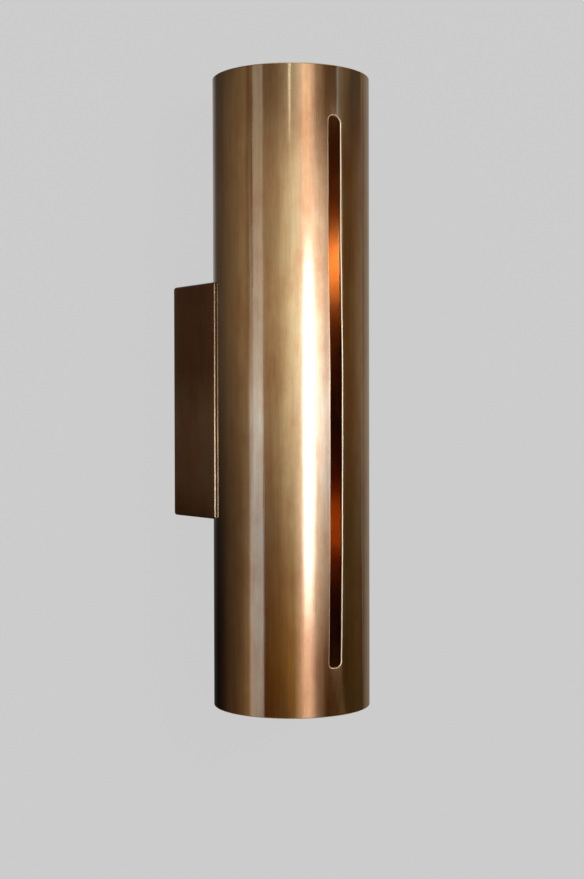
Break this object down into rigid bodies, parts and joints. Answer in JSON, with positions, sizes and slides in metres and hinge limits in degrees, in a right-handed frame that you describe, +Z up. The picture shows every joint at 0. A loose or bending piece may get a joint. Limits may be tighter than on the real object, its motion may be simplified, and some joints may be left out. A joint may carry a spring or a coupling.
{
  "type": "tube wall light",
  "caption": "Wall light with an upright brass tube, open at both ends and slotted in front, held off the wall by a scribed metal box; screw-cap lamps shine up, down and through the slot.",
  "frame": {"origin": "middle of the wall plate's back face, level with the middle of the wall box", "axes": "+Z up along the tube, +Y into the wall, +X to the right as seen from the room"},
  "size_m": [0.1, 0.115, 0.4],
  "materials": {
    "aged_brass": "aged brass, satin lacquer",
    "bright_brass": "plain turned brass",
    "nickel": "nickel plated",
    "zinc_steel": "zinc plated",
    "black_phenolic": "moulded phenolic",
    "ceramic": "glazed ceramic",
    "rubber": "moulded rubber",
    "clear_glass": "clear, warm tinted",
    "black_glass": "fused glass",
    "glow": "warm light source",
    "nylon": "natural nylon",
    "brown_pvc": "wire insulation",
    "blue_pvc": "wire insulation",
    "earth_pvc": "wire insulation"
  },
  "bodies": {
    "fixture": {"box_screws": "bright_brass", "cable_bush": "rubber", "clamp_screws": "zinc_steel", "earth_nuts": "zinc_steel", "earth_stud": "zinc_steel", "earth_tag": "zinc_steel", "earth_washer": "zinc_steel", "entry_nipple": "bright_brass", "entry_nuts": "bright_brass", "holder_lower_base": "black_phenolic", "holder_lower_contact": "bright_brass", "holder_lower_core": "ceramic", "holder_lower_shell": "nickel", "holder_lower_skirt": "black_phenolic", "holder_nipples": "bright_brass", "holder_nuts": "bright_brass", "holder_upper_base": "black_phenolic", "holder_upper_contact": "bright_brass", "holder_upper_core": "ceramic", "holder_upper_shell": "nickel", "holder_upper_skirt": "black_phenolic", "lamp_bracket": "zinc_steel", "lead_earth": "earth_pvc", "lead_live_lower": "brown_pvc", "lead_live_upper": "brown_pvc", "lead_neutral_lower": "blue_pvc", "lead_neutral_upper": "blue_pvc", "saddle_washer": "bright_brass", "shade_tube": "aged_brass", "spine_strap": "zinc_steel", "strap_nuts": "zinc_steel", "strap_screws": "zinc_steel", "terminal_block": "nylon", "terminal_fixing_screw": "zinc_steel", "terminal_inserts": "bright_brass", "wall_box": "aged_brass", "wall_plate": "zinc_steel", "weld_nuts": "zinc_steel"},
    "lamp_upper": {"lamp_upper_cap": "nickel", "lamp_upper_contact": "nickel", "lamp_upper_emitter": "glow", "lamp_upper_globe": "clear_glass", "lamp_upper_insulator": "black_glass", "lamp_upper_stem": "clear_glass"},
    "lamp_lower": {"lamp_lower_cap": "nickel", "lamp_lower_contact": "nickel", "lamp_lower_emitter": "glow", "lamp_lower_globe": "clear_glass", "lamp_lower_insulator": "black_glass", "lamp_lower_stem": "clear_glass"}
  },
  "joints": [
    {"name": "lamp_upper_unscrew", "type": "hinge", "parent": "fixture", "child": "lamp_upper", "pos_m": [0, -0.065, 0.125], "axis": [0, 0, 1], "range_deg": [0, 1260]},
    {"name": "lamp_lower_unscrew", "type": "hinge", "parent": "fixture", "child": "lamp_lower", "pos_m": [0, -0.065, -0.115], "axis": [0, 0, -1], "range_deg": [0, 1260]}
  ]
}
